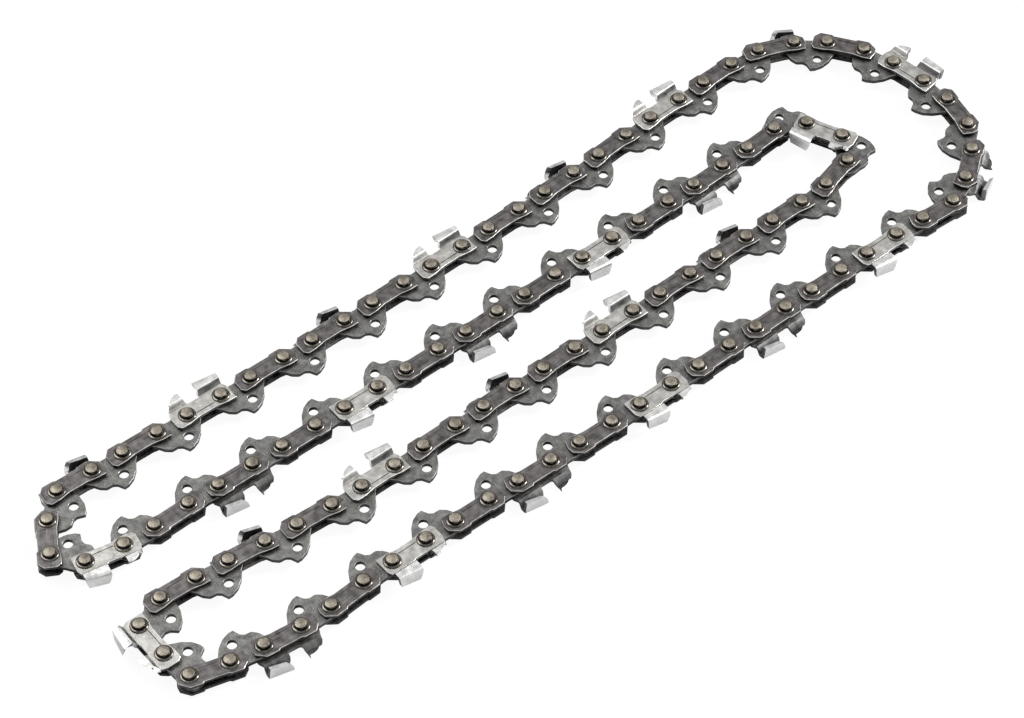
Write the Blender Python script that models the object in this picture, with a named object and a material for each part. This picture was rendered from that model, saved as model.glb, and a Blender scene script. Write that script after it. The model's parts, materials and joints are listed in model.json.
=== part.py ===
"""Chainsaw chain: a closed loop of drive links, tie straps, cutters and rivets, lying flat on its side.

Metres, +Z up. The loop lies on z = 0, and its long stretches run along X.
A unit is one side pair, from its first rivet to its second, and the drive link after it.
Along a unit x points down the chain, y points out of the bar groove, and z is across the plates.
"""
import math

import bmesh
import bpy
from mathutils import Matrix, Vector
from mathutils.geometry import tessellate_polygon

MM = 0.001

# The pitch: three rivets span twice the nominal 3/8 inch
RIVET_SPAN = 19.05 * MM
SIDE_SHARE = 0.5312
SIDE_SPACING = SIDE_SHARE * RIVET_SPAN
LINK_SPACING = RIVET_SPAN - SIDE_SPACING
UNITS = 57

# The stack across the chain
LINK_THICKNESS = 1.27 * MM
STRAP_THICKNESS = 1.0 * MM
PLATE_GAP = 0.25 * MM
RIVET_PROUD = 1.2 * MM
CUTTER_SET = 1.45 * MM

# Side plate outline. The front end clears the next pair, and a cutter is square at its rear end
STRAP_OUTER_EDGE = 3.2 * MM
STRAP_INNER_EDGE = 2.7 * MM
STRAP_END_CLEARANCE = 0.565 * MM
STRAP_END_REACH = LINK_SPACING / 2 - STRAP_END_CLEARANCE
STRAP_OUTER_CUT = 1.0 * MM
STRAP_OUTER_CUT_HEIGHT = 1.4 * MM
STRAP_INNER_CUT = 0.8 * MM
STRAP_INNER_CUT_HEIGHT = 1.0 * MM
STRAP_WAIST = 2.3 * MM
PLATE_REAR_REACH = 2.65 * MM
PLATE_REAR = SIDE_SPACING + PLATE_REAR_REACH
PLATE_REAR_CUT = 2.2 * MM

# Drive link outline
LINK_END_RADIUS = 3.45 * MM
LINK_OUTER_EDGE = 2.3 * MM
TANG_DEPTH = 8.2 * MM
TANG_TIP_X = 4.4 * MM
TANG_BUMP_X = 0.5 * MM
TANG_BUMP_DEPTH = 5.6 * MM
TANG_NOTCH_X = 3.3 * MM
TANG_NOTCH_DEPTH = 6.2 * MM
TANG_BACK_REACH = 1.97 * MM
TANG_BACK_X = LINK_SPACING + TANG_BACK_REACH
TANG_HOLE_RADIUS = 1.3 * MM
TANG_HOLE_X = 6.2 * MM
TANG_HOLE_DEPTH = 4.8 * MM

# Rivets
RIVET_RADIUS = 1.65 * MM
SHANK_RADIUS = 1.5 * MM
COLLAR_RADIUS = 2.15 * MM
COLLAR_HEIGHT = 0.45 * MM
PIVOT_CLEARANCE = 0.1 * MM
LOOSE_CLEARANCE = 0.75 * MM
SEAT_CLEARANCE = 0.2 * MM
RIVET_SIDES = 6
WHOLE_RIVET_SIDES = 12
HOLE_SIDES = 6

# Cutters. The gauge and top plate stand on the outer edge of their plate
JOG_END = 4.3 * MM
JOG_SLANT = 0.4 * MM
CROWN_END = 5.1 * MM
TOP_PLATE_HEIGHT = 7.1 * MM
TOP_PLATE_DROP = 1.0 * MM
TOP_PLATE_LENGTH = 6.7 * MM
TOP_PLATE_FRONT = PLATE_REAR - TOP_PLATE_LENGTH
TOP_PLATE_REAR_CUT = 0.35 * MM
TOP_PLATE_WIDTH = 3.9 * MM
TOP_PLATE_FOLD = 0.9 * MM
TOP_PLATE_SWEEP = 1.2 * MM
TOP_PLATE_REAR_SWEEP = 1.0 * MM
GAUGE_INSET = 0.6 * MM
GAUGE_FRONT = STRAP_END_REACH - GAUGE_INSET
GAUGE_ROOT = 1.9 * MM
GAUGE_REAR = 1.3 * MM
GAUGE_JOG_FRONT = 2.4 * MM
GAUGE_SHOULDER = 5.3 * MM
GAUGE_SHOULDER_FRONT = 1.3 * MM
GAUGE_HEIGHT = 6.2 * MM
GAUGE_TIP_LENGTH = 0.8 * MM

# How the loop lies: a closed curve through these points, scaled until the last drive link meets the first pair
LAY_POINTS = (
    (-121.5, 34.5), (-48.5, 32.5), (34.5, 33.5), (78, 36), (111.5, 34.5),
    (129, 18), (131.5, -19.5), (109.5, -36.5), (98, -35.5),
    (8, -35.5), (-71, -34), (-99, -35), (-128, -32),
    (-127.5, -34), (-128, -8.5), (-118.5, -7.5), (-74, -11.5),
    (-25.5, -11.5), (50.5, -11.5), (94.5, -10), (103.5, -4.5),
    (97, 10.5), (75.5, 11), (56, 10.5), (-23, 10), (-99, 11),
    (-122, 11.5), (-134, 16.5), (-123, 34.5),
)
LAY_STEPS = 24

# Cutters follow every fourth unit, with one longer step where the loop was joined
LEFT_CUTTERS = (3, 7, 11, 15, 19, 23, 27, 31, 35, 39, 44, 48, 52, 56)
RIGHT_CUTTERS = (1, 5, 9, 13, 17, 21, 25, 29, 33, 37, 41, 46, 50, 54)
# Units made of every real piece, units made in twos, and units whose first rivet is loose in its link
WHOLE_UNITS = (44, 45, 46)
DOUBLE_STARTS = (2, 6, 10, 19, 23, 25, 33, 37, 41, 50, 54)
LOOSE_UNITS = (2, 6, 10, 15, 19, 23, 29, 33, 37, 41, 45, 47, 50, 54)

# Levels from the middle of the stack outwards
LINK_FACE = LINK_THICKNESS / 2
STRAP_INNER = LINK_FACE + PLATE_GAP
STRAP_OUTER = STRAP_INNER + STRAP_THICKNESS
RIVET_END = STRAP_OUTER + RIVET_PROUD
CUTTER_CREST = STRAP_OUTER + CUTTER_SET
MIDDLE = max(CUTTER_CREST, RIVET_END)

# Colour, metallic and roughness of each finish
FINISHES = {
    "dark_strap_steel": ((0.12, 0.12, 0.13, 1), 1.0, 0.42),
    "drive_link_steel": ((0.16, 0.16, 0.17, 1), 1.0, 0.48),
    "bright_cutter_steel": ((0.62, 0.62, 0.64, 1), 1.0, 0.3),
    "rivet_steel": ((0.45, 0.42, 0.36, 1), 1.0, 0.38),
}


def make_finish(name):
    """One steel as a Principled material."""
    colour, metallic, roughness = FINISHES[name]
    material = bpy.data.materials.new(name)
    material.use_nodes = True
    shader = material.node_tree.nodes["Principled BSDF"]
    shader.inputs["Base Color"].default_value = colour
    shader.inputs["Metallic"].default_value = metallic
    shader.inputs["Roughness"].default_value = roughness
    material.diffuse_color = colour
    return material


def polygon(radius, sides, centre=(0.0, 0.0)):
    """A regular polygon of this radius to its corners."""
    turns = [2 * math.pi * i / sides for i in range(sides)]
    return [(centre[0] + radius * math.cos(t), centre[1] + radius * math.sin(t)) for t in turns]


def round_hole(radius, centre=(0.0, 0.0), sides=HOLE_SIDES):
    """A hole that a round of this radius passes through, so the radius is to its flats."""
    return polygon(radius / math.cos(math.pi / sides), sides, centre)


def strap_outline(is_cutter):
    """A side plate's outline, its rivets on y = 0. A cutter's outer edge carries its gauge and top plate."""
    outer_corner = GAUGE_FRONT if is_cutter else STRAP_END_REACH - STRAP_OUTER_CUT
    left = [
        (-outer_corner, STRAP_OUTER_EDGE),
        (-STRAP_END_REACH, STRAP_OUTER_EDGE - STRAP_OUTER_CUT_HEIGHT),
        (-STRAP_END_REACH, -STRAP_INNER_EDGE + STRAP_INNER_CUT_HEIGHT),
        (-STRAP_END_REACH + STRAP_INNER_CUT, -STRAP_INNER_EDGE),
    ]
    right = [
        (PLATE_REAR, STRAP_OUTER_EDGE - PLATE_REAR_CUT),
        (PLATE_REAR - PLATE_REAR_CUT, STRAP_OUTER_EDGE),
    ]
    if is_cutter:
        right = [
            (PLATE_REAR, STRAP_OUTER_EDGE),
            (TOP_PLATE_FRONT, STRAP_OUTER_EDGE),
            (GAUGE_ROOT, STRAP_OUTER_EDGE),
        ]
    return left + [(SIDE_SPACING / 2, -STRAP_WAIST), (PLATE_REAR, -STRAP_INNER_EDGE)] + right


def link_outline():
    """A drive link's outline, its two rivets on y = 0 and its tang below them."""
    reach = LINK_END_RADIUS
    ahead = LINK_SPACING
    return [
        (-0.35 * reach, LINK_OUTER_EDGE),
        (-0.93 * reach, 0.3 * reach),
        (-0.93 * reach, -0.35 * reach),
        (-0.4 * reach, -0.95 * reach),
        (TANG_BUMP_X, -TANG_BUMP_DEPTH),
        (TANG_NOTCH_X, -TANG_NOTCH_DEPTH),
        (TANG_TIP_X, -TANG_DEPTH),
        ((TANG_TIP_X + TANG_BACK_X) / 2, -0.87 * TANG_DEPTH),
        (TANG_BACK_X, -reach),
        (ahead + 0.93 * reach, -0.35 * reach),
        (ahead + 0.93 * reach, 0.3 * reach),
        (ahead + 0.35 * reach, LINK_OUTER_EDGE),
    ]


class Builder:
    """Gathers the faces of one solid in a frame of its own, one finish at a time."""

    def __init__(self):
        self.mesh = bmesh.new()
        self.finishes = []
        self.index = 0
        self.place = Matrix.Identity(4)
        self.flip = 1

    def use(self, finish):
        if finish not in self.finishes:
            self.finishes.append(finish)
        self.index = self.finishes.index(finish)

    def face(self, points):
        corners = [self.mesh.verts.new(self.place @ Vector((x, y, self.flip * z))) for x, y, z in points]
        self.mesh.faces.new(corners).material_index = self.index

    def cap(self, outline, holes, z):
        """A flat face at z with holes in it."""
        loops = [[Vector((x, y, 0)) for x, y in loop] for loop in [outline, *holes]]
        flat = [p for loop in loops for p in loop]
        for triangle in tessellate_polygon(loops):
            self.face([(flat[i].x, flat[i].y, z) for i in triangle])

    def wall(self, outline, low, high, left_out=()):
        """The walls over an outline between two heights, without the sides that carry something else."""
        for i, a in enumerate(outline):
            b = outline[(i + 1) % len(outline)]
            if i not in left_out:
                self.face([(*a, low), (*b, low), (*b, high), (*a, high)])

    def loft(self, rows):
        """Skins a bent plate from rows of four corners, closed at the last row."""
        for row, following in zip(rows, rows[1:]):
            for i in range(4):
                j = (i + 1) % 4
                self.face([row[i], row[j], following[j], following[i]])
        self.face(rows[-1])

    def finish(self, name, origin, heading):
        """Closes the solid and places it as an object."""
        bmesh.ops.remove_doubles(self.mesh, verts=self.mesh.verts, dist=1e-6)
        bmesh.ops.recalc_face_normals(self.mesh, faces=self.mesh.faces)
        data = bpy.data.meshes.new(name)
        self.mesh.to_mesh(data)
        self.mesh.free()
        for finish in self.finishes:
            data.materials.append(materials[finish])
        item = bpy.data.objects.new(name, data)
        bpy.context.scene.collection.objects.link(item)
        item.location = origin
        item.rotation_euler = (0, 0, heading)
        return item


def gauge_rows():
    """The depth gauge, from the plate's outer edge to its tip: corners at each height."""
    crest = CUTTER_CREST
    inside = crest - STRAP_THICKNESS
    levels = [
        (STRAP_OUTER_EDGE, 0, STRAP_OUTER, STRAP_INNER, -GAUGE_FRONT, GAUGE_ROOT),
        (JOG_END, JOG_SLANT, crest, inside, -GAUGE_JOG_FRONT, GAUGE_REAR),
        (GAUGE_SHOULDER, 0, crest, inside, -GAUGE_SHOULDER_FRONT, GAUGE_REAR),
        (GAUGE_HEIGHT, 0, crest, inside, GAUGE_REAR - GAUGE_TIP_LENGTH, GAUGE_REAR),
    ]
    return [
        [(front, y, z_out), (rear, y, z_out), (rear, y + slant, z_in), (front, y + slant, z_in)]
        for y, slant, z_out, z_in, front, rear in levels
    ]


def top_plate_rows():
    """The top plate, from the plate's outer edge over the fold to its free edge across the chain."""
    thin = STRAP_THICKNESS
    crest = CUTTER_CREST
    folded = crest - TOP_PLATE_FOLD
    free = crest - TOP_PLATE_WIDTH
    front = TOP_PLATE_FRONT
    rear = PLATE_REAR - TOP_PLATE_REAR_CUT
    free_front = front + TOP_PLATE_SWEEP
    free_rear = rear - TOP_PLATE_REAR_SWEEP
    levels = [
        (STRAP_OUTER_EDGE, 0, STRAP_OUTER, STRAP_INNER, front, PLATE_REAR, 0),
        (JOG_END, JOG_SLANT, crest, crest - thin, front, rear, 0),
        (CROWN_END, -JOG_SLANT, crest, crest - thin, front, rear, TOP_PLATE_DROP / 4),
        (TOP_PLATE_HEIGHT, -thin, folded, folded - JOG_SLANT, front, rear, TOP_PLATE_DROP),
        (TOP_PLATE_HEIGHT, -thin, free, free, free_front, free_rear, TOP_PLATE_DROP),
    ]
    return [
        [(start, y, z_out), (end, y - drop, z_out), (end, y - drop + slant, z_in), (start, y + slant, z_in)]
        for y, slant, z_out, z_in, start, end, drop in levels
    ]


def add_plate(build, is_cutter, rings, holes):
    """A tie strap or a cutter.

    Rings pair the edges where a joined rivet leaves the outer and inner face. Holes let a rivet pass.
    """
    outline = strap_outline(is_cutter)
    build.use("bright_cutter_steel" if is_cutter else "dark_strap_steel")
    left_out = ()
    if is_cutter:
        gauge_side = len(outline) - 1
        top_plate_side = gauge_side - 2
        left_out = (gauge_side, top_plate_side)
        build.loft(gauge_rows())
        build.loft(top_plate_rows())
    build.cap(outline, [outer for outer, inner in rings] + holes, STRAP_OUTER)
    build.cap(outline, [inner for outer, inner in rings] + holes, STRAP_INNER)
    build.wall(outline, STRAP_INNER, STRAP_OUTER, left_out)
    for hole in holes:
        build.wall(hole, STRAP_INNER, STRAP_OUTER)


def add_link(build, rings, holes):
    """A drive link with its tang hole."""
    outline = link_outline()
    tang_hole = round_hole(TANG_HOLE_RADIUS, (TANG_HOLE_X, -TANG_HOLE_DEPTH))
    build.use("drive_link_steel")
    for z in (-LINK_FACE, LINK_FACE):
        build.cap(outline, [tang_hole, *rings, *holes], z)
    for loop in [outline, tang_hole, *holes]:
        build.wall(loop, -LINK_FACE, LINK_FACE)


def cutter_sides(unit):
    """Whether the upper and the lower plate of a unit are cutters."""
    return {1: unit in LEFT_CUTTERS, -1: unit in RIGHT_CUTTERS}


def turned(points, angle, centre=(0.0, 0.0)):
    """Points turned about the origin, then moved to a centre."""
    spin = Matrix.Rotation(angle, 2)
    return [tuple(Vector(centre) + spin @ Vector(p)) for p in points]


def add_joined_unit(build, unit, place, bend, onward, follows):
    """A side pair and the drive link after it, held together by their own rivets.

    The drive link turns by bend from its side pair. Onward is the turn of a following pair in the same solid.
    """
    build.place = place
    first = polygon(RIVET_RADIUS, RIVET_SIDES)
    second = polygon(RIVET_RADIUS, RIVET_SIDES, (SIDE_SPACING, 0))
    shank = polygon(loose_radius(RIVET_RADIUS), RIVET_SIDES) if unit in LOOSE_UNITS else first
    for side, is_cutter in cutter_sides(unit).items():
        build.flip = side
        add_plate(build, is_cutter, [(first, shank), (second, second)], [])
        build.use("rivet_steel")
        for ring in (first, second):
            build.wall(ring, STRAP_OUTER, RIVET_END)
            build.cap(ring, [], RIVET_END)
        build.wall(second, LINK_FACE, STRAP_INNER)
        if follows:
            build.wall(first, LINK_FACE, STRAP_INNER)
    build.flip = 1
    if not follows:
        build.wall(shank, -STRAP_INNER, STRAP_INNER)
    build.place = place @ Matrix.Translation((SIDE_SPACING, 0, 0)) @ Matrix.Rotation(bend, 4, "Z")
    rings = [turned(first, -bend)]
    holes = []
    if onward is None:
        holes.append(round_hole(RIVET_RADIUS + PIVOT_CLEARANCE, (LINK_SPACING, 0)))
    else:
        rings.append(turned(first, onward, (LINK_SPACING, 0)))
    add_link(build, rings, holes)


def loose_radius(radius):
    """The radius of a rivet that turns loosely in a link hole made for this one."""
    return radius + PIVOT_CLEARANCE - LOOSE_CLEARANCE


def add_whole_rivet(build, is_loose):
    """A rivet: a shank with a collar and a raised head at both ends. A loose one is slim in the link."""
    build.use("rivet_steel")
    shank = polygon(SHANK_RADIUS, WHOLE_RIVET_SIDES)
    middle = polygon(loose_radius(SHANK_RADIUS), WHOLE_RIVET_SIDES) if is_loose else shank
    collar = polygon(COLLAR_RADIUS, WHOLE_RIVET_SIDES)
    head = polygon(RIVET_RADIUS, WHOLE_RIVET_SIDES)
    seat = STRAP_OUTER + SEAT_CLEARANCE
    build.wall(middle, -STRAP_INNER, STRAP_INNER)
    for build.flip in (1, -1):
        if is_loose:
            build.cap(shank, [middle], STRAP_INNER)
        build.wall(shank, STRAP_INNER, seat)
        build.cap(collar, [shank], seat)
        build.wall(collar, seat, seat + COLLAR_HEIGHT)
        build.cap(collar, [head], seat + COLLAR_HEIGHT)
        build.wall(head, seat + COLLAR_HEIGHT, RIVET_END)
        build.cap(head, [], RIVET_END)


def smooth_loop(points):
    """A closed curve through the points, with tangents that allow for uneven steps."""
    curve = []
    count = len(points)
    for i in range(count):
        before, start, end, after = (points[(i + k) % count] for k in (-1, 0, 1, 2))
        pairs = ((before, start), (start, end), (end, after))
        first, span, last = (math.sqrt((b - a).length) for a, b in pairs)
        leave = span * ((start - before) / first - (end - before) / (first + span) + (end - start) / span)
        arrive = span * ((end - start) / span - (after - start) / (span + last) + (after - end) / last)
        for step in range(LAY_STEPS):
            t = step / LAY_STEPS
            curve.append(
                (2 * t**3 - 3 * t**2 + 1) * start + (t**3 - 2 * t**2 + t) * leave
                + (3 * t**2 - 2 * t**3) * end + (t**3 - t**2) * arrive
            )
    return curve


def walk(curve):
    """Rivet centres stepped along a closed curve, and how far round the last step came, in points."""
    rivets = [curve[0]]
    i = 0
    for number in range(2 * UNITS):
        here = rivets[-1]
        step = LINK_SPACING if number % 2 else SIDE_SPACING
        while (curve[(i + 1) % len(curve)] - here).length < step:
            i += 1
        a, b = curve[i % len(curve)], curve[(i + 1) % len(curve)]
        near, far = (a - here).length, (b - here).length
        share = (step - near) / (far - near)
        rivets.append(a + share * (b - a))
    return rivets, i + share


def lay_chain():
    """The rivet centres of the closed loop."""
    low, high = 0.2, 5.0
    for _ in range(60):
        scale = (low + high) / 2
        curve = smooth_loop([Vector(p) * MM * scale for p in LAY_POINTS])
        rivets, reached = walk(curve)
        if reached < len(curve):
            high = scale
        else:
            low = scale
    return rivets


def headings(rivets):
    """The direction of each side pair and drive link in turn."""
    return [math.atan2((b - a).y, (b - a).x) for a, b in zip(rivets, rivets[1:])]


def wrapped(angle):
    return math.remainder(angle, 2 * math.pi)


def make_section(start, count, rivets, ways):
    """One or two units joined into one solid, named after its cutter if it has one."""
    build = Builder()
    base = ways[2 * (start - 1)]
    origin = rivets[2 * (start - 1)]
    for unit in range(start, start + count):
        pair = 2 * (unit - 1)
        bend = wrapped(ways[pair + 1] - ways[pair])
        last = unit == start + count - 1
        onward = None if last else wrapped(ways[pair + 2] - ways[pair + 1])
        spot = Matrix.Rotation(-base, 4, "Z") @ (rivets[pair] - origin).to_3d()
        place = Matrix.Translation(spot) @ Matrix.Rotation(ways[pair] - base, 4, "Z")
        add_joined_unit(build, unit, place, bend, onward, unit > start)
    return build.finish(section_name(start, count), (origin.x, origin.y, MIDDLE), base)


def section_name(start, count):
    """What a person would call this stretch of chain."""
    units = range(start, start + count)
    kind = "tie_strap"
    if any(u in LEFT_CUTTERS for u in units):
        kind = "left_cutter"
    if any(u in RIGHT_CUTTERS for u in units):
        kind = "right_cutter"
    return f"{kind}_section_" + "_".join(f"{u:02d}" for u in units)


def make_whole_unit(unit, rivets, ways):
    """A unit as its real pieces: two side plates, two rivets and a drive link."""
    pair = 2 * (unit - 1)
    spot = (rivets[pair].x, rivets[pair].y, MIDDLE)
    holes = [round_hole(SHANK_RADIUS + PIVOT_CLEARANCE, (x, 0), WHOLE_RIVET_SIDES) for x in (0, SIDE_SPACING)]
    for side, is_cutter in cutter_sides(unit).items():
        build = Builder()
        build.flip = side
        add_plate(build, is_cutter, [], holes)
        kind = ("left_cutter" if side > 0 else "right_cutter") if is_cutter else "tie_strap"
        level = "" if is_cutter else ("_upper" if side > 0 else "_lower")
        build.finish(f"{kind}{level}_{unit}", spot, ways[pair])
    for number in (0, 1):
        build = Builder()
        add_whole_rivet(build, number == 0 and unit in LOOSE_UNITS)
        centre = rivets[pair + number]
        build.finish(f"rivet_{unit}_{number + 1}", (centre.x, centre.y, MIDDLE), ways[pair])
    build = Builder()
    first_hole = round_hole(SHANK_RADIUS + PIVOT_CLEARANCE, (0, 0), WHOLE_RIVET_SIDES)
    next_radius = SHANK_RADIUS if unit + 1 in WHOLE_UNITS else RIVET_RADIUS
    second_hole = round_hole(next_radius + PIVOT_CLEARANCE, (LINK_SPACING, 0), WHOLE_RIVET_SIDES)
    add_link(build, [], [first_hole, second_hole])
    centre = rivets[pair + 1]
    build.finish(f"drive_link_{unit}", (centre.x, centre.y, MIDDLE), ways[pair + 1])


def make_chain():
    """Every unit of the loop, in order."""
    rivets = lay_chain()
    ways = headings(rivets)
    unit = 1
    while unit <= UNITS:
        if unit in WHOLE_UNITS:
            make_whole_unit(unit, rivets, ways)
            unit += 1
            continue
        count = 2 if unit in DOUBLE_STARTS else 1
        make_section(unit, count, rivets, ways)
        unit += count


def centre_chain():
    """Moves the chain so that the middle of its box is over the origin."""
    bpy.context.view_layer.update()
    items = list(bpy.context.scene.objects)
    corners = [item.matrix_world @ v.co for item in items for v in item.data.vertices]
    for axis in (0, 1):
        middle = (min(c[axis] for c in corners) + max(c[axis] for c in corners)) / 2
        for item in items:
            item.location[axis] -= middle
    bpy.context.view_layer.update()


for old in list(bpy.data.objects):
    bpy.data.objects.remove(old)
materials = {name: make_finish(name) for name in FINISHES}
make_chain()
centre_chain()
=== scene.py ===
"""The chainsaw chain as photographed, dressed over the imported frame.

Shapes are drawn in millimetres in the frame of a side pair or a drive link, and stamped along the loop.
In that frame x runs down the chain, y out of the bar groove, and z across the plates from their middle.
"""
import json
import math
import random

import bmesh
import bpy
from mathutils import Matrix, Vector
from mathutils.geometry import tessellate_polygon


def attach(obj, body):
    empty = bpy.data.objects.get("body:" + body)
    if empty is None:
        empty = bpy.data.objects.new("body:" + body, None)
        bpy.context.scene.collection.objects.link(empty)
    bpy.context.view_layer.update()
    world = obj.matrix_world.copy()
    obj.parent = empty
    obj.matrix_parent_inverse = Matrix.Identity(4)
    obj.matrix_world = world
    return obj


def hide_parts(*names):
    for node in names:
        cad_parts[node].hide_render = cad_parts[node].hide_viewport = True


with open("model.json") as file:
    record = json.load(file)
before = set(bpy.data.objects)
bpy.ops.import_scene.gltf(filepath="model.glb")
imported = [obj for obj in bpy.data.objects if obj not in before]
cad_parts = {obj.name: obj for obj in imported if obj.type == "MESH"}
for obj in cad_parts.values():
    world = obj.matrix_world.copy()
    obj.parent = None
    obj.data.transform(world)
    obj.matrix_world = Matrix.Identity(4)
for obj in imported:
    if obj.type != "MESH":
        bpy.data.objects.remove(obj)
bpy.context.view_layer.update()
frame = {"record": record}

MM = 0.001
SEED = 57
random.seed(SEED)

# Sizes in millimetres, as the part's source has them, and the round holes that follow from them
RIVET_SPAN = 19.05
SIDE_SHARE = 0.5312
SIDE_SPACING = SIDE_SHARE * RIVET_SPAN
LINK_SPACING = RIVET_SPAN - SIDE_SPACING
UNITS = 57
LINK_THICKNESS = 1.27
STRAP_THICKNESS = 1.0
PLATE_GAP = 0.25
RIVET_PROUD = 1.2
CUTTER_SET = 1.45
SHANK_RADIUS = 1.5
PIVOT_CLEARANCE = 0.1
LOOSE_CLEARANCE = 0.75
HOLE_RADIUS = SHANK_RADIUS + PIVOT_CLEARANCE

# Levels from the middle of the stack outwards
LINK_FACE = LINK_THICKNESS / 2
STRAP_INNER = LINK_FACE + PLATE_GAP
STRAP_OUTER = STRAP_INNER + STRAP_THICKNESS
MIDDLE = STRAP_OUTER + CUTTER_SET

# The lay: points of a closed curve, which is scaled until the last drive link meets the first pair
LAY_POINTS = (
    (-121.5, 34.5), (-48.5, 32.5), (34.5, 33.5), (78, 36), (111.5, 34.5),
    (129, 18), (131.5, -19.5), (109.5, -36.5), (98, -35.5),
    (8, -35.5), (-71, -34), (-99, -35), (-128, -32),
    (-127.5, -34), (-128, -8.5), (-118.5, -7.5), (-74, -11.5),
    (-25.5, -11.5), (50.5, -11.5), (94.5, -10), (103.5, -4.5),
    (97, 10.5), (75.5, 11), (56, 10.5), (-23, 10), (-99, 11),
    (-122, 11.5), (-134, 16.5), (-123, 34.5),
)
LAY_STEPS = 24
LAY_SCALES = (0.2, 5.0)
LAY_HALVINGS = 60
# The unit whose hinge in the frame sets the lay's place
ANCHOR_UNIT = 4

LEFT_CUTTERS = (3, 7, 11, 15, 19, 23, 27, 31, 35, 39, 44, 48, 52, 56)
RIGHT_CUTTERS = (1, 5, 9, 13, 17, 21, 25, 29, 33, 37, 41, 46, 50, 54)
# Units made of every real piece, units made in twos, and units whose first rivet is loose in its link
WHOLE_UNITS = (44, 45, 46)
DOUBLE_STARTS = (2, 6, 10, 19, 23, 25, 33, 37, 41, 50, 54)
LOOSE_UNITS = (2, 6, 10, 15, 19, 23, 29, 33, 37, 41, 45, 47, 50, 54)

# Roundings: points per circle and fillet, the share of a side that a fillet may take, the half angle in
# degrees from which a corner is left as it is, and the sharpest mitre of an inset
ROUND_STEPS = 20
FILLET_STEPS = 4
FILLET_SHARE = 0.45
STRAIGHT_CORNER = 88
MITRE_LIMIT = 0.35

# Chamfers and pressed strips. A strip is two opposite corners, x0, y0, x1, y1
STRAP_CHAMFER = 0.13
CUTTER_CHAMFER = 0.1
LINK_CHAMFER = 0.1
PRESS_DEPTH = 0.1
STRAP_STRIP = (2.5, -1.1, 7.6, 1.7)
CUTTER_STRIP = (2.3, -1.0, 7.8, -0.75)

# Side plate outlines as (x, y, fillet radius). The front and the waist are the same on straps and cutters
PLATE_NOSE = 3.9
PLATE_INNER_EDGE = 2.7
PLATE_WAIST = 2.15
PLATE_FRONT = (
    (-PLATE_NOSE, 1.55, 0.5), (-PLATE_NOSE, -1.65, 0.5), (-3.05, -PLATE_INNER_EDGE, 0.5),
    (-0.8, -PLATE_INNER_EDGE, 1.2), (2.4, -PLATE_WAIST, 3), (SIDE_SPACING - 2.7, -PLATE_WAIST, 3),
    (SIDE_SPACING + 0.4, -PLATE_INNER_EDGE, 1.2),
)
STRAP_DIP = 2.85
STRAP_FRONT_SHOULDER = 3.2
STRAP_REAR_SHOULDER = 3.25
STRAP_BACK = (
    (SIDE_SPACING + 2.4, -PLATE_INNER_EDGE, 0.2), (SIDE_SPACING + 3.2, -0.3, 0.5),
    (SIDE_SPACING + 3.1, 1.3, 0.4), (SIDE_SPACING + 0.8, STRAP_REAR_SHOULDER, 0.5),
    (SIDE_SPACING - 2.3, STRAP_REAR_SHOULDER, 0.2), (SIDE_SPACING - 2.8, STRAP_DIP, 0.2),
    (1.3, STRAP_DIP, 0.2), (0.8, STRAP_FRONT_SHOULDER, 0.2), (-2.4, STRAP_FRONT_SHOULDER, 0.3),
)

# Cutters. The gauge and the top plate rise from roots on the outer edge, each with a front and a rear end
BLANK_ROOT = 3.2
GAUGE_FRONT, GAUGE_REAR = -3.3, 1.9
TOP_PLATE_FRONT, TOP_PLATE_REAR = 5.6, 12.3
CUTTER_REAR = SIDE_SPACING + 2.85
CUTTER_DIP = 2.95
CUTTER_BACK = (
    (CUTTER_REAR, -PLATE_INNER_EDGE, 0.3), (CUTTER_REAR, 1.9, 0.5), (TOP_PLATE_REAR, BLANK_ROOT, 0),
    (TOP_PLATE_FRONT, BLANK_ROOT, 0), (5.2, CUTTER_DIP, 0.4), (2.4, CUTTER_DIP, 0.4),
    (GAUGE_REAR, BLANK_ROOT, 0), (GAUGE_FRONT, BLANK_ROOT, 0),
)
# Rows of a bent blank's outer skin: y, z above the plate's face, then its front and its rear end
GAUGE_ROWS = (
    (BLANK_ROOT, 0.0, GAUGE_FRONT, GAUGE_REAR), (3.35, 0.12, -3.2, 1.75), (3.7, 0.75, -2.9, 1.6),
    (4.05, 1.25, -2.6, 1.45), (4.35, CUTTER_SET, -2.3, 1.35), (4.9, CUTTER_SET, -1.75, 1.3),
    (5.4, CUTTER_SET, -1.2, 1.3), (5.8, 1.43, -0.5, 1.3), (6.1, 1.38, 0.2, 1.25), (6.25, 1.3, 0.6, 1.2),
)
TOP_PLATE_ROWS = (
    (BLANK_ROOT, 0.0, TOP_PLATE_FRONT, TOP_PLATE_REAR), (3.35, 0.12, 5.6, 12.3), (3.7, 0.75, 5.8, 12.32),
    (4.05, 1.25, 5.95, 12.36), (4.35, CUTTER_SET, 6.05, 12.4), (5.2, CUTTER_SET, 6.05, 12.42),
    (6.0, 1.43, 6.05, 12.4), (6.6, 1.33, 6.05, 12.4), (6.95, 1.1, 6.08, 12.4), (7.1, 0.7, 6.1, 12.35),
    (7.12, 0.1, 6.2, 12.3), (7.1, -1.2, 6.5, 12.15), (7.1, -2.4, 7.1, 11.95),
)
TOP_PLATE_RELIEF = 1.0
GROUND_SETBACK = 0.7
# Heights along y where the ground corners start and where the looks of a blank's skin change. On a top
# plate the jog below JOG_LOOK_TOP is painted shade and the crown up to FOLD_START a painted highlight
JOG_TOP = 4.1
JOG_LOOK_TOP = 3.9
FOLD_START = 6.7

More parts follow.
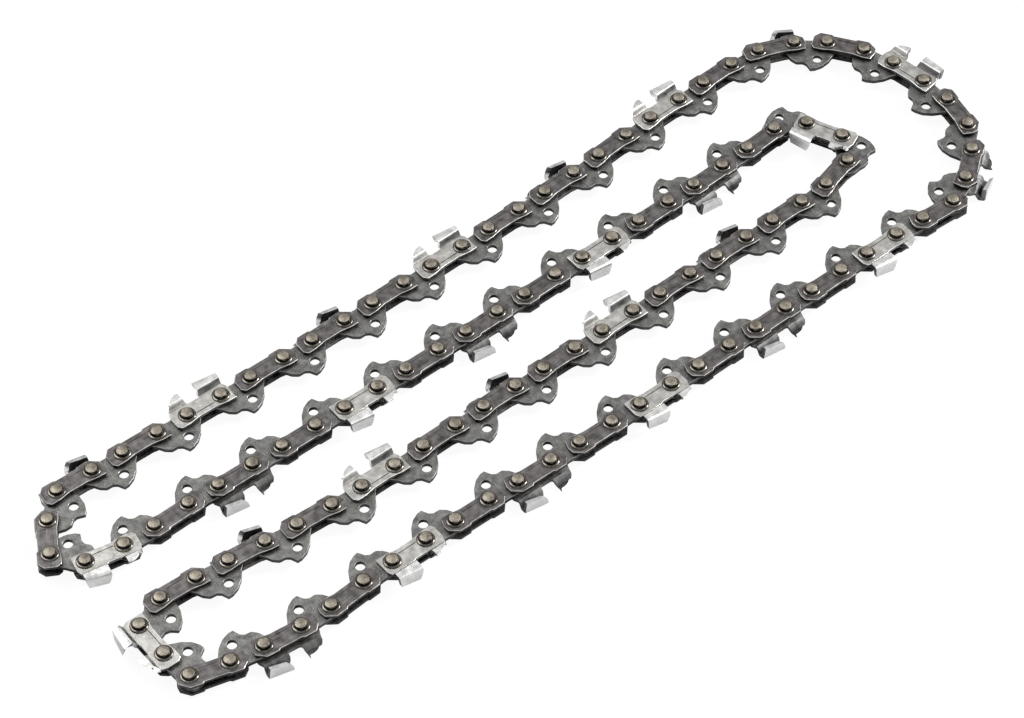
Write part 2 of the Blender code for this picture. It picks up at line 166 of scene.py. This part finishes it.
# Drive link outline as (x, y, fillet radius), and the hole in its tang
LINK_OUTER_EDGE = 2.4
LINK_REAR = LINK_SPACING + 3.2
TANG_BUMP = -5.8
LINK_OUTLINE = (
    (-1.2, LINK_OUTER_EDGE, 1.2), (-3.25, 1.1, 1.6), (-3.3, -1.3, 1.6), (-1.7, -3.2, 1.2),
    (-0.9, -4.6, 1.2), (0.5, TANG_BUMP, 1.0), (2.2, TANG_BUMP, 0.8), (3.2, -6.5, 0.8),
    (4.1, -8.3, 0.12), (5.4, -8.15, 0.8), (7.3, -7.3, 1.5), (9.2, -5.5, 1.5), (10.5, -3.4, 1.5),
    (LINK_REAR, -1.4, 1.4), (LINK_REAR, 1.1, 1.5), (LINK_SPACING + 1.2, LINK_OUTER_EDGE, 1.2),
    (LINK_SPACING / 2, 2.05, 3),
)
TANG_HOLE = (6.1, -4.8)
TANG_HOLE_RADIUS = 1.3

# A rivet's collar and head as (radius, height above the plate)
COLLAR_FOOT = 0.02
HEAD_FOOT = (1.64, 0.3)
COLLAR_PROFILE = (
    (SHANK_RADIUS, COLLAR_FOOT), (2.26, COLLAR_FOOT), (2.32, 0.12), (2.28, 0.22), (2.14, 0.34),
    (1.92, 0.42), (1.72, 0.4), HEAD_FOOT,
)
HEAD_PROFILE = (HEAD_FOOT, (1.58, 0.45), (1.58, 1.02), (1.53, 1.14), (1.42, RIVET_PROUD))

# Meshes: corners closer than this, in metres, are joined, and turns past this, in degrees, stay sharp
WELD_DISTANCE = 1e-6
SHARP_TURN = 32

# Grain: the map that holds the drawn places, its millimetres per unit, and how far a copy's grain is moved
DRAWN_MAP = "drawn"
DRAWN_UNIT = 10
GRAIN_SHIFT = 300
# Worked steel: its noises, the spans of them that colour and roughness follow, and its relief in metres
FINE_NOISE = {"Scale": 22.0, "Detail": 4.0}
PATCH_NOISE = {"Scale": 5.0, "Detail": 3.0}
COLOUR_SPAN = (0.7, 1.3)
PATCH_SPAN = (0.3, 0.7)
SMOOTHER = 0.06
ROUGHER = 0.08
BUMP_HEIGHT = 0.0002
# The colour sockets of a mix node: two inputs and the result
MIX_DARK, MIX_LIGHT, MIX_RESULT = 6, 7, 2

# The camera, found from the rivets in the photograph, in millimetres, degrees and, where named, pixels
CAMERA_SPOT = Vector((-347.8, -434.7, 687.5))
CAMERA_TURN = 38.0
CAMERA_DROP = 51.33
CAMERA_ROLL = -1.306
FOCAL_PIXELS = 3500
WIDTH_PIXELS = 1024
SENSOR = 36

# The studio in metres. A lamp is its name, place, width and power in watts
CLIP_START = 0.01
WHITE = (1, 1, 1, 1)
FLOOR_COLOUR = (0.9, 0.9, 0.9, 1)
FLOOR_WHITE_SHARE = 0.93
FLOOR_REACH = 3.0
SKY_STRENGTH = 0.55
LAMPS = (
    ("key", (-0.5, 0.9, 1.3), 1.0, 22),
    ("fill", (0.9, -0.7, 1.2), 1.2, 6),
    ("glint", (1.3, -0.5, 0.95), 0.5, 44),
)

# Looks, in the order of each piece's material slots. The walls, the jog and the rivets' sides and collars
# are painted shade; the edges and the crowns are painted highlights
STRAP_FACE, STRAP_EDGE_HIGHLIGHT, STRAP_WALL_SHADE, LINK_TOP, LINK_EDGE_HIGHLIGHT, LINK_WALL_SHADE = range(6)
CUTTER_FACE, CUTTER_EDGE_HIGHLIGHT, CUTTER_WALL_SHADE, TOP_PLATE, GROUND, JOG, CROWN_HIGHLIGHT = range(7)
RIVET_TOP, RIVET_SIDE_SHADE, RIVET_COLLAR_SHADE = range(3)


class Shape:
    """A mesh in the making: corners, faces, one look per face and where each corner was drawn."""

    def __init__(self):
        self.corners = []
        self.faces = []
        self.looks = []
        self.drawn = []

    def add(self, points, look):
        start = len(self.corners)
        self.corners += [Vector(p) for p in points]
        self.drawn += [Vector(p) for p in points]
        self.faces.append(list(range(start, start + len(points))))
        self.looks.append(look)

    def grid(self, rings, look):
        """Joins closed rings of as many corners each."""
        size = len(rings[0])
        for a, b in zip(rings, rings[1:]):
            for i in range(size):
                j = (i + 1) % size
                self.add([a[i], a[j], b[j], b[i]], look)

    def mirrored(self):
        """The same shape on the other side of the chain."""
        other = Shape()
        other.corners = [Vector((p.x, p.y, -p.z)) for p in self.corners]
        other.drawn = list(other.corners)
        other.faces = [face[::-1] for face in self.faces]
        other.looks = list(self.looks)
        return other

    def stamp(self, shape, place, shift):
        """Adds a placed copy. The shift moves its grain so that no two plates look the same."""
        start = len(self.corners)
        self.corners += [place @ p for p in shape.corners]
        self.drawn += [p + shift for p in shape.drawn]
        self.faces += [[start + i for i in face] for face in shape.faces]
        self.looks += shape.looks


def filleted(points):
    """A closed outline from (x, y, radius) corners, each rounded by a curve of about its radius."""
    outline = []
    count = len(points)
    for i, (x, y, radius) in enumerate(points):
        here = Vector((x, y))
        back = Vector(points[i - 1][:2]) - here
        ahead = Vector(points[(i + 1) % count][:2]) - here
        half = back.angle(ahead) / 2
        if radius == 0 or half > math.radians(STRAIGHT_CORNER):
            outline.append(here)
            continue
        reach = min(radius / math.tan(half), FILLET_SHARE * back.length, FILLET_SHARE * ahead.length)
        start = here + reach * back.normalized()
        end = here + reach * ahead.normalized()
        for k in range(FILLET_STEPS + 1):
            t = k / FILLET_STEPS
            outline.append((1 - t) ** 2 * start + 2 * t * (1 - t) * here + t**2 * end)
    return outline


def circle(centre, radius, clockwise=False):
    turns = [2 * math.pi * k / ROUND_STEPS for k in range(ROUND_STEPS)]
    if clockwise:
        turns.reverse()
    return [Vector((centre[0] + radius * math.cos(t), centre[1] + radius * math.sin(t))) for t in turns]


def inset(loop, distance):
    """The loop moved to the left of its own direction."""
    moved = []
    for i, here in enumerate(loop):
        back = (here - loop[i - 1]).normalized()
        ahead = (loop[(i + 1) % len(loop)] - here).normalized()
        a = Vector((-back.y, back.x))
        b = Vector((-ahead.y, ahead.x))
        scale = distance / max(MITRE_LIMIT, 1 + a.dot(b))
        moved.append(here + (a + b) * scale)
    return moved


def counter_clockwise(loop):
    area = sum(a.x * b.y - b.x * a.y for a, b in zip(loop, loop[1:] + loop[:1]))
    return loop if area > 0 else loop[::-1]


def strip_corners(x0, y0, x1, y1):
    """A pressed strip's corners, clockwise as a hole's are."""
    return [Vector(p) for p in ((x0, y0), (x0, y1), (x1, y1), (x1, y0))]


def slab(shape, outline, holes, low, high, chamfer, looks, pressed=()):
    """A plate with holes, chamfered edges and strips pressed into its outer face.

    The looks are those of its faces, outer chamfers, walls and inner chamfers. A strip brings its own.
    """
    face_look, edge_look, wall_look, inner_look = looks
    loops = [counter_clockwise(outline)] + [circle(c, r, clockwise=True) for c, r in holes]
    pulled = [inset(loop, chamfer) for loop in loops]
    strips = [strip_corners(*strip) for strip, _ in pressed]
    for z, up in ((low, False), (high, True)):
        drawn = pulled + strips if up else pulled
        flat = [p for loop in drawn for p in loop]
        for triangle in tessellate_polygon([[p.to_3d() for p in loop] for loop in drawn]):
            corners = [flat[i] for i in triangle]
            turn = (corners[1] - corners[0]).cross(corners[2] - corners[0])
            if (turn > 0) != up:
                corners.reverse()
            shape.add([(p.x, p.y, z) for p in corners], face_look)
    for strip, (_, look) in zip(strips, pressed):
        floor = [(p.x, p.y, high - PRESS_DEPTH) for p in strip]
        shape.grid([[(p.x, p.y, high) for p in strip], floor], wall_look)
        shape.add(floor[::-1], look)
    for full, small in zip(loops, pulled):
        rings = [
            [(p.x, p.y, low) for p in small],
            [(p.x, p.y, low + chamfer) for p in full],
            [(p.x, p.y, high - chamfer) for p in full],
            [(p.x, p.y, high) for p in small],
        ]
        shape.grid(rings[:2], inner_look)
        shape.grid(rings[1:3], wall_look)
        shape.grid(rings[2:], edge_look)


def side_plate(shape, back, chamfer, looks, pressed):
    """A strap's or a cutter's flat plate on the upper side, with its two rivet holes."""
    holes = [((0, 0), HOLE_RADIUS), ((SIDE_SPACING, 0), HOLE_RADIUS)]
    slab(shape, filleted(PLATE_FRONT + back), holes, STRAP_INNER, STRAP_OUTER, chamfer, looks, pressed)


def tie_strap():
    """One tie strap on the upper side."""
    shape = Shape()
    looks = (STRAP_FACE, STRAP_EDGE_HIGHLIGHT, STRAP_WALL_SHADE, STRAP_WALL_SHADE)
    side_plate(shape, STRAP_BACK, STRAP_CHAMFER, looks, [(STRAP_STRIP, STRAP_FACE)])
    return shape


def drive_link():
    """One drive link, from its first rivet at the origin."""
    shape = Shape()
    holes = [((0, 0), HOLE_RADIUS), ((LINK_SPACING, 0), HOLE_RADIUS), (TANG_HOLE, TANG_HOLE_RADIUS)]
    looks = (LINK_TOP, LINK_EDGE_HIGHLIGHT, LINK_WALL_SHADE, LINK_EDGE_HIGHLIGHT)
    slab(shape, filleted(LINK_OUTLINE), holes, -LINK_FACE, LINK_FACE, LINK_CHAMFER, looks)
    return shape


def bent_blank(shape, rows, looks, relief=0, setback=0):
    """A plate bent up from the side plate. Relief lowers its rear, and setback grinds its front."""
    jog_look, crown_look, fold_look, ground_look, inner_look = looks
    path = [Vector((y, z)) for y, z, _, _ in rows]
    outer, inner = [], []
    for i, (y, z, front, rear) in enumerate(rows):
        ahead = path[min(i + 1, len(path) - 1)] - path[max(i - 1, 0)]
        normal = Vector((ahead.y, -ahead.x)).normalized()
        if i == 0:
            normal = Vector((0, -1))
        back = path[i] + normal * STRAP_THICKNESS
        rise = max(0.0, min(1.0, (y - JOG_TOP) / (rows[-1][0] - JOG_TOP)))
        lower = relief * rise
        outer.append([(front, y, z), (rear, y - lower, z)])
        inner.append([(front + setback * rise, back.x, back.y), (rear, back.x - lower, back.y)])
    for a, b, c, d in zip(outer, outer[1:], inner, inner[1:]):
        height = a[0][1]
        if height < JOG_LOOK_TOP:
            skin_look = jog_look
        elif height < FOLD_START:
            skin_look = crown_look
        else:
            skin_look = fold_look
        shape.add(lifted([a[0], a[1], b[1], b[0]]), skin_look)
        shape.add(lifted([c[0], d[0], d[1], c[1]]), inner_look)
        shape.add(lifted([a[0], b[0], d[0], c[0]]), ground_look)
        shape.add(lifted([a[1], c[1], d[1], b[1]]), inner_look)
    shape.add(lifted([outer[-1][0], outer[-1][1], inner[-1][1], inner[-1][0]]), ground_look)


def lifted(points):
    return [(x, y, z + STRAP_OUTER) for x, y, z in points]


def cutter():
    """One left-hand cutter: side plate, depth gauge and folded top plate."""
    shape = Shape()
    plate_looks = (CUTTER_FACE, CUTTER_EDGE_HIGHLIGHT, CUTTER_WALL_SHADE, CUTTER_WALL_SHADE)
    # The gauge's crown takes a painted highlight, its ground ends the edges' painted highlight and its
    # underside the walls' painted shade
    gauge_looks = (CUTTER_FACE, CROWN_HIGHLIGHT, CUTTER_FACE, CUTTER_EDGE_HIGHLIGHT, CUTTER_WALL_SHADE)
    # The top plate's jog takes painted shade, its crown a painted highlight and its underside the walls'
    # painted shade
    top_looks = (JOG, CROWN_HIGHLIGHT, TOP_PLATE, GROUND, CUTTER_WALL_SHADE)
    # The pressed strip's floor takes the walls' painted shade
    side_plate(shape, CUTTER_BACK, CUTTER_CHAMFER, plate_looks, [(CUTTER_STRIP, CUTTER_WALL_SHADE)])
    bent_blank(shape, GAUGE_ROWS, gauge_looks)
    bent_blank(shape, TOP_PLATE_ROWS, top_looks, TOP_PLATE_RELIEF, GROUND_SETBACK)
    return shape


def rivet(link_radius):
    """One rivet: a shank with a collar and a flat raised head at both ends."""
    shape = Shape()
    # The shank and the heads' sides take painted shade, and so do the collars
    for low, high, radius in (
        (-STRAP_OUTER, -STRAP_INNER, SHANK_RADIUS),
        (-STRAP_INNER, STRAP_INNER, link_radius),
        (STRAP_INNER, STRAP_OUTER, SHANK_RADIUS),
    ):
        shape.grid([[(p.x, p.y, z) for p in circle((0, 0), radius)] for z in (low, high)], RIVET_SIDE_SHADE)
    for side in (1, -1):
        for profile, look in ((COLLAR_PROFILE, RIVET_COLLAR_SHADE), (HEAD_PROFILE, RIVET_SIDE_SHADE)):
            rings = []
            for radius, height in profile:
                z = side * (STRAP_OUTER + height)
                rings.append([(p.x, p.y, z) for p in circle((0, 0), radius, clockwise=side < 0)])
            shape.grid(rings, look)
        shape.add(rings[-1], RIVET_TOP)
    return shape


# Materials

def node(tree, kind, links=(), **values):
    """A shader node with its inputs set or linked by name."""
    made = tree.nodes.new(kind)
    for name, value in values.items():
        setattr(made, name, value)
    for socket, value in dict(links).items():
        target = made.inputs[socket]
        if isinstance(value, bpy.types.NodeSocket):
            tree.links.new(value, target)
        else:
            target.default_value = value
    return made


def steel(name, dark, light, roughness, grain=(0.35, 5.0), bump=0.05):
    """Worked steel: fine lengthwise grain, soft patches and a varying roughness."""
    material = bpy.data.materials.new(name)
    material.use_nodes = True
    tree = material.node_tree
    shader = tree.nodes["Principled BSDF"]
    shader.inputs["Metallic"].default_value = 1.0
    place = node(tree, "ShaderNodeUVMap", uv_map=DRAWN_MAP)
    stretched = node(tree, "ShaderNodeMapping", {"Vector": place.outputs["UV"], "Scale": (*grain, 1)})
    fine = node(tree, "ShaderNodeTexNoise", {"Vector": stretched.outputs["Vector"], **FINE_NOISE})
    patch = node(tree, "ShaderNodeTexNoise", {"Vector": place.outputs["UV"], **PATCH_NOISE})
    mixed = node(tree, "ShaderNodeMath", {0: fine.outputs["Fac"], 1: patch.outputs["Fac"]}, operation="ADD")
    span = node(tree, "ShaderNodeMapRange", {
        "Value": mixed.outputs[0], "From Min": COLOUR_SPAN[0], "From Max": COLOUR_SPAN[1],
    })
    shades = {0: span.outputs[0], MIX_DARK: (*dark, 1), MIX_LIGHT: (*light, 1)}
    colour = node(tree, "ShaderNodeMix", shades, data_type="RGBA")
    tree.links.new(colour.outputs[MIX_RESULT], shader.inputs["Base Color"])
    rough = node(tree, "ShaderNodeMapRange", {
        "Value": patch.outputs["Fac"], "From Min": PATCH_SPAN[0], "From Max": PATCH_SPAN[1],
        "To Min": roughness - SMOOTHER, "To Max": roughness + ROUGHER,
    })
    tree.links.new(rough.outputs[0], shader.inputs["Roughness"])
    raised = node(tree, "ShaderNodeBump", {
        "Strength": bump, "Distance": BUMP_HEIGHT, "Height": fine.outputs["Fac"],
    })
    tree.links.new(raised.outputs["Normal"], shader.inputs["Normal"])
    return material


DARK_LOOKS = [
    steel("strap_face", (0.05, 0.047, 0.048), (0.168, 0.156, 0.153), 0.36, grain=(0.07, 2.2), bump=0.25),
    # Painted highlight: the straps' outer chamfers lighter than the face
    steel("strap_edge_painted_highlight", (0.28, 0.27, 0.262), (0.6, 0.585, 0.57), 0.3),
    # Painted shade: the straps' walls and inner chamfers near black
    steel("strap_wall_painted_shade", (0.01, 0.01, 0.011), (0.035, 0.034, 0.034), 0.5),
    steel("link_face", (0.072, 0.072, 0.069), (0.19, 0.188, 0.18), 0.42, grain=(1.0, 1.0), bump=0.25),
    # Painted highlight: both chamfers of the links lighter than the face
    steel("link_edge_painted_highlight", (0.12, 0.12, 0.12), (0.28, 0.28, 0.275), 0.34),
    # Painted shade: the links' walls near black
    steel("link_wall_painted_shade", (0.012, 0.012, 0.013), (0.045, 0.045, 0.046), 0.45),
]
BRIGHT_LOOKS = [
    steel("cutter_face", (0.26, 0.25, 0.235), (0.46, 0.45, 0.43), 0.36, grain=(0.4, 2.5), bump=0.12),
    # Painted highlight: the cutters' outer chamfers and the gauge's ground ends near white
    steel("cutter_edge_painted_highlight", (0.6, 0.6, 0.585), (0.88, 0.88, 0.86), 0.32),
    # Painted shade: the cutters' walls, the blanks' undersides and the pressed strip dark
    steel("cutter_wall_painted_shade", (0.04, 0.04, 0.04), (0.13, 0.13, 0.128), 0.4),
    steel("cutter_top_plate", (0.3, 0.3, 0.3), (0.42, 0.42, 0.415), 0.34, grain=(0.3, 3.0)),
    steel("cutter_ground", (0.3, 0.3, 0.3), (0.6, 0.6, 0.6), 0.2),
    # Painted shade: the top plate's jog dark
    steel("cutter_jog_painted_shade", (0.06, 0.06, 0.06), (0.17, 0.17, 0.167), 0.34, grain=(0.3, 3.0), bump=0.1),
    # Painted highlight: the crowns of the gauge and the top plate bright
    steel("cutter_crown_painted_highlight", (0.4, 0.4, 0.395), (0.66, 0.66, 0.65), 0.3, grain=(0.3, 3.0), bump=0.08),
]
RIVET_LOOKS = [
    steel("rivet_top", (0.085, 0.075, 0.06), (0.28, 0.252, 0.21), 0.44, grain=(1.2, 1.2), bump=0.4),
    # Painted shade: the sides of the heads and the shanks near black
    steel("rivet_side_painted_shade", (0.012, 0.011, 0.01), (0.06, 0.055, 0.048), 0.2, grain=(1.0, 1.0)),
    # Painted shade: the collars dark
    steel("rivet_collar_painted_shade", (0.03, 0.028, 0.024), (0.16, 0.148, 0.13), 0.18, grain=(1.0, 1.0)),
]


# The lay of the loop

def smooth_loop(points):
    """A closed curve through the points, with tangents that allow for uneven steps."""
    curve = []
    count = len(points)
    for i in range(count):
        before, start, end, after = (points[(i + k) % count] for k in (-1, 0, 1, 2))
        first = math.sqrt((start - before).length)
        span = math.sqrt((end - start).length)
        last = math.sqrt((after - end).length)
        leave = span * ((start - before) / first - (end - before) / (first + span) + (end - start) / span)
        arrive = span * ((end - start) / span - (after - start) / (span + last) + (after - end) / last)
        for step in range(LAY_STEPS):
            t = step / LAY_STEPS
            curve.append(
                (2 * t**3 - 3 * t**2 + 1) * start + (t**3 - 2 * t**2 + t) * leave
                + (3 * t**2 - 2 * t**3) * end + (t**3 - t**2) * arrive
            )
    return curve


def walk(curve):
    """Rivet centres stepped along a closed curve, and how far round the last step came, in points."""
    rivets = [curve[0]]
    i = 0
    for number in range(2 * UNITS):
        here = rivets[-1]
        step = LINK_SPACING if number % 2 else SIDE_SPACING
        while (curve[(i + 1) % len(curve)] - here).length < step:
            i += 1
        a, b = curve[i % len(curve)], curve[(i + 1) % len(curve)]
        near, far = (a - here).length, (b - here).length
        share = (step - near) / (far - near)
        rivets.append(a + share * (b - a))
    return rivets, i + share


def lay_chain():
    """The rivet centres of the closed loop, moved to where the frame has the anchor unit's first hinge."""
    low, high = LAY_SCALES
    for _ in range(LAY_HALVINGS):
        scale = (low + high) / 2
        curve = smooth_loop([Vector(p) * scale for p in LAY_POINTS])
        rivets, reached = walk(curve)
        if reached < len(curve):
            high = scale
        else:
            low = scale
    joints = frame["record"]["behaviour"]["joints"]
    anchor = next(j for j in joints if j["name"] == f"pivot_{ANCHOR_UNIT}")
    shift = Vector(anchor["pos_m"][:2]) / MM - rivets[2 * (ANCHOR_UNIT - 1)]
    return [p + shift for p in rivets]


RIVETS = lay_chain()
WAYS = [math.atan2((b - a).y, (b - a).x) for a, b in zip(RIVETS, RIVETS[1:])]


def placed(number):
    """The frame of the side pair or drive link that starts at this rivet."""
    spot = RIVETS[number]
    return Matrix.Translation((spot.x, spot.y, MIDDLE)) @ Matrix.Rotation(WAYS[number], 4, "Z")


def random_shift():
    return Vector((random.uniform(0, GRAIN_SHIFT), random.uniform(0, GRAIN_SHIFT), 0))


BODY_OF = {node: body for body, nodes in frame["record"]["behaviour"]["bodies"].items() for node in nodes}


def make_piece(name, shape, looks, nodes):
    """An object from a shape, riding on their body in place of CAD nodes."""
    mesh = bpy.data.meshes.new(name)
    mesh.from_pydata([p * MM for p in shape.corners], [], shape.faces)
    for look in looks:
        mesh.materials.append(look)
    layer = mesh.uv_layers.new(name=DRAWN_MAP)
    for face, look in zip(mesh.polygons, shape.looks):
        face.material_index = look
        for loop in face.loop_indices:
            drawn = shape.drawn[mesh.loops[loop].vertex_index]
            layer.data[loop].uv = (drawn.x / DRAWN_UNIT, (drawn.y + drawn.z) / DRAWN_UNIT)
    item = bpy.data.objects.new(name, mesh)
    bpy.context.scene.collection.objects.link(item)
    merge(mesh)
    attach(item, BODY_OF[nodes[0]])
    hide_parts(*nodes)


def merge(mesh):
    """Joins the faces at their corners and keeps only the sharp turns sharp."""
    work = bmesh.new()
    work.from_mesh(mesh)
    bmesh.ops.remove_doubles(work, verts=work.verts, dist=WELD_DISTANCE)
    bmesh.ops.recalc_face_normals(work, faces=work.faces)
    for face in work.faces:
        face.smooth = True
    work.to_mesh(mesh)
    work.free()
    mesh.set_sharp_from_angle(angle=math.radians(SHARP_TURN))


UPPER_STRAP = tie_strap()
LOWER_STRAP = UPPER_STRAP.mirrored()
LEFT_CUTTER = cutter()
RIGHT_CUTTER = LEFT_CUTTER.mirrored()
LINK = drive_link()
RIVET = rivet(SHANK_RADIUS)
LOOSE_RIVET = rivet(HOLE_RADIUS - LOOSE_CLEARANCE)


def rivet_at(number):
    """The rivet that starts or ends a side pair, slim in the link where that pivot is loose."""
    unit = number // 2 + 1
    return LOOSE_RIVET if number % 2 == 0 and unit in LOOSE_UNITS else RIVET


def section_kind(units):
    if any(u in LEFT_CUTTERS for u in units):
        return "left_cutter"
    if any(u in RIGHT_CUTTERS for u in units):
        return "right_cutter"
    return "tie_strap"


def make_section(units):
    """One joined section: a piece of straps and links, one of rivets, and one of cutters if it has any."""
    label = "_".join(f"{u:02d}" for u in units)
    nodes = [f"{section_kind(units)}_section_{label}"]
    plates, cutters, rivets = Shape(), Shape(), Shape()
    for unit in units:
        pair = 2 * (unit - 1)
        for is_cutter, strap, tool in (
            (unit in LEFT_CUTTERS, UPPER_STRAP, LEFT_CUTTER),
            (unit in RIGHT_CUTTERS, LOWER_STRAP, RIGHT_CUTTER),
        ):
            target = cutters if is_cutter else plates
            target.stamp(tool if is_cutter else strap, placed(pair), random_shift())
        plates.stamp(LINK, placed(pair + 1), random_shift())
        for number in (pair, pair + 1):
            rivets.stamp(rivet_at(number), placed(number), random_shift())
    make_piece(f"plates_{label}", plates, DARK_LOOKS, nodes)
    make_piece(f"rivets_{label}", rivets, RIVET_LOOKS, nodes)
    if cutters.faces:
        make_piece(f"cutter_{label}", cutters, BRIGHT_LOOKS, nodes)


def make_whole_unit(unit):
    """Each real piece of one unit by itself."""
    pair = 2 * (unit - 1)

    def one(name, shape, looks, number):
        made = Shape()
        made.stamp(shape, placed(number), random_shift())
        make_piece(f"{name}_look", made, looks, [name])

    if unit in LEFT_CUTTERS:
        one(f"left_cutter_{unit}", LEFT_CUTTER, BRIGHT_LOOKS, pair)
    else:
        one(f"tie_strap_upper_{unit}", UPPER_STRAP, DARK_LOOKS, pair)
    if unit in RIGHT_CUTTERS:
        one(f"right_cutter_{unit}", RIGHT_CUTTER, BRIGHT_LOOKS, pair)
    else:
        one(f"tie_strap_lower_{unit}", LOWER_STRAP, DARK_LOOKS, pair)
    one(f"rivet_{unit}_1", rivet_at(pair), RIVET_LOOKS, pair)
    one(f"rivet_{unit}_2", rivet_at(pair + 1), RIVET_LOOKS, pair + 1)
    one(f"drive_link_{unit}", LINK, DARK_LOOKS, pair + 1)


def make_chain():
    unit = 1
    while unit <= UNITS:
        if unit in WHOLE_UNITS:
            make_whole_unit(unit)
            unit += 1
            continue
        count = 2 if unit in DOUBLE_STARTS else 1
        make_section(range(unit, unit + count))
        unit += count


# The studio

def make_floor():
    """A pale floor that the camera sees as white, apart from the object's soft shadow."""
    material = bpy.data.materials.new("studio_floor")
    material.use_nodes = True
    tree = material.node_tree
    tree.nodes.clear()
    cloth = node(tree, "ShaderNodeBsdfDiffuse", {"Color": FLOOR_COLOUR})
    white = node(tree, "ShaderNodeEmission", {"Color": WHITE, "Strength": 1.0})
    seen = node(tree, "ShaderNodeLightPath").outputs["Is Camera Ray"]
    share = node(tree, "ShaderNodeMath", {0: seen, 1: FLOOR_WHITE_SHARE}, operation="MULTIPLY")
    mixed = node(tree, "ShaderNodeMixShader", {
        0: share.outputs[0], 1: cloth.outputs[0], 2: white.outputs[0],
    })
    node(tree, "ShaderNodeOutputMaterial", {"Surface": mixed.outputs[0]})
    mesh = bpy.data.meshes.new("studio_floor")
    corners = [(FLOOR_REACH * x, FLOOR_REACH * y, 0) for x, y in ((-1, -1), (1, -1), (1, 1), (-1, 1))]
    mesh.from_pydata(corners, [], [(0, 1, 2, 3)])
    mesh.materials.append(material)
    floor = bpy.data.objects.new("studio_floor", mesh)
    bpy.context.scene.collection.objects.link(floor)


def make_world():
    """White to the camera and in reflections, a dim sky otherwise."""
    world = bpy.data.worlds.new("studio")
    bpy.context.scene.world = world
    world.use_nodes = True
    tree = world.node_tree
    tree.nodes.clear()
    rays = node(tree, "ShaderNodeLightPath")
    seen = rays.outputs["Is Camera Ray"]
    for kind in ("Is Glossy Ray", "Is Transmission Ray"):
        either = node(tree, "ShaderNodeMath", {0: seen, 1: rays.outputs[kind]}, operation="MAXIMUM")
        seen = either.outputs[0]
    strength = node(tree, "ShaderNodeMapRange", {"Value": seen, "To Min": SKY_STRENGTH, "To Max": 1.0})
    sky = node(tree, "ShaderNodeBackground", {"Color": WHITE, "Strength": strength.outputs[0]})
    node(tree, "ShaderNodeOutputWorld", {"Surface": sky.outputs[0]})


def make_lamp(name, spot, size, power):
    """A square soft box aimed at the middle of the chain."""
    data = bpy.data.lights.new(name, "AREA")
    data.size = size
    data.energy = power
    lamp = bpy.data.objects.new(name, data)
    bpy.context.scene.collection.objects.link(lamp)
    lamp.location = spot
    lamp.rotation_euler = (-Vector(spot)).to_track_quat("-Z", "Y").to_euler()


def make_camera():
    """The camera at the photograph's place."""
    turn, drop, roll = (math.radians(v) for v in (CAMERA_TURN, CAMERA_DROP, CAMERA_ROLL))
    ahead = Vector((math.sin(turn) * math.cos(drop), math.cos(turn) * math.cos(drop), -math.sin(drop)))
    level = Vector((math.cos(turn), -math.sin(turn), 0))
    up = level.cross(ahead)
    right = math.cos(roll) * level + math.sin(roll) * up
    up = right.cross(ahead)
    data = bpy.data.cameras.new("camera")
    data.sensor_width = SENSOR
    data.lens = FOCAL_PIXELS / WIDTH_PIXELS * SENSOR
    data.clip_start = CLIP_START
    camera = bpy.data.objects.new("camera", data)
    bpy.context.scene.collection.objects.link(camera)
    facing = Matrix((right, up, -ahead)).transposed().to_4x4()
    camera.matrix_world = Matrix.Translation(CAMERA_SPOT * MM) @ facing
    bpy.context.scene.camera = camera


make_chain()
make_floor()
make_world()
for lamp in LAMPS:
    make_lamp(*lamp)
make_camera()
bpy.context.scene.view_settings.view_transform = "Standard"
